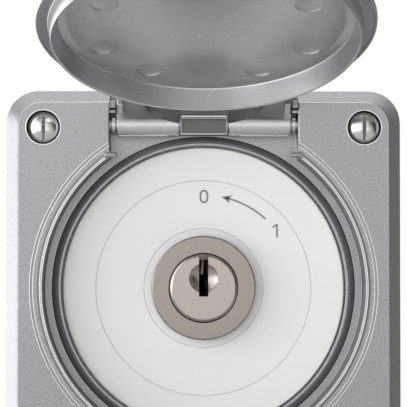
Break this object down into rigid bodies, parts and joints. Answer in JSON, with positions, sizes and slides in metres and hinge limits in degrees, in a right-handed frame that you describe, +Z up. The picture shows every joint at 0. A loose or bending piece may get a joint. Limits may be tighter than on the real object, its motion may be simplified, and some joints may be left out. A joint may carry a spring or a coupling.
{
  "type": "selector key switch",
  "caption": "Flush-mounted key switch: square cast frame, open round hinged lid, white round cover and a lock cylinder turned by key between 0 and 1.",
  "frame": {"origin": "point where the lock's axis meets the wall plane", "axes": "+Z up as mounted, +Y into the wall, +X to the right seen from the front; the front faces -Y"},
  "size_m": [0.084, 0.1045, 0.108],
  "materials": {
    "cast_aluminium": "fine-grained die-cast, clear-lacquered, satin",
    "nickel": "brushed nickel plating, warm grey",
    "brass": "bare, dull",
    "zinc_steel": "zinc-plated, satin",
    "screw_steel": "polished stainless",
    "spring_steel": "drawn wire",
    "white_plastic": "smooth satin with grey printing",
    "inner_plastic": "natural moulded",
    "grey_plastic": "moulded, fine texture",
    "rubber": "soft, matte"
  },
  "bodies": {
    "housing": {"front_frame": "cast_aluminium", "frame_gasket": "rubber", "lid_seal": "rubber", "hinge_pin": "zinc_steel", "hinge_washer_left": "zinc_steel", "hinge_washer_right": "zinc_steel", "cover_ring": "white_plastic", "cover_disc": "white_plastic", "lock_collar": "white_plastic", "lock_bezel": "nickel", "lock_shell": "brass", "lock_nut": "zinc_steel", "lock_washer": "zinc_steel", "support_plate": "zinc_steel", "switch_base": "grey_plastic", "rear_cover": "grey_plastic", "return_spring": "spring_steel", "plunger_spring": "spring_steel", "frame_screw_top_left": "screw_steel", "screw_seal_top_left": "rubber", "frame_screw_top_right": "screw_steel", "screw_seal_top_right": "rubber", "frame_screw_bottom_right": "screw_steel", "screw_seal_bottom_right": "rubber", "frame_screw_bottom_left": "screw_steel", "screw_seal_bottom_left": "rubber", "fixed_contact_left": "brass", "terminal_clamp_left": "brass", "terminal_screw_left": "zinc_steel", "base_screw_left": "zinc_steel", "cover_screw_left": "zinc_steel", "fixed_contact_right": "brass", "terminal_clamp_right": "brass", "terminal_screw_right": "zinc_steel", "base_screw_right": "zinc_steel", "cover_screw_right": "zinc_steel", "driver_pin_1": "brass", "pin_spring_1": "spring_steel", "driver_pin_2": "brass", "pin_spring_2": "spring_steel", "driver_pin_3": "brass", "pin_spring_3": "spring_steel"},
    "lid": {"lid": "cast_aluminium"},
    "plug": {"lock_plug": "nickel", "plug_clip": "zinc_steel", "drive_cam": "inner_plastic", "cam_screw": "zinc_steel", "key_pin_1": "brass", "key_pin_2": "brass", "key_pin_3": "brass"},
    "plunger": {"plunger": "inner_plastic", "contact_bridge": "brass"}
  },
  "joints": [
    {"name": "lid_hinge", "type": "hinge", "parent": "housing", "child": "lid", "pos_m": [0, -0.0128, 0.0344], "axis": [1, 0, 0], "range_deg": [0, 112]},
    {"name": "plug_turn", "type": "hinge", "parent": "housing", "child": "plug", "pos_m": [0, 0, 0], "axis": [0, 1, 0], "range_deg": [0, 52], "stiffness_Nm_per_rad": 0.05, "deforming": ["return_spring"]},
    {"name": "plunger_slide", "type": "slide", "parent": "housing", "child": "plunger", "axis": [0, 0, -1], "range_m": [0, 0.00236], "stiffness_N_per_m": 150, "deforming": ["plunger_spring"]}
  ],
  "couplings": [
    {"joint": "plug_turn", "follows": "plunger_slide", "rad_per_m": 384.62}
  ]
}
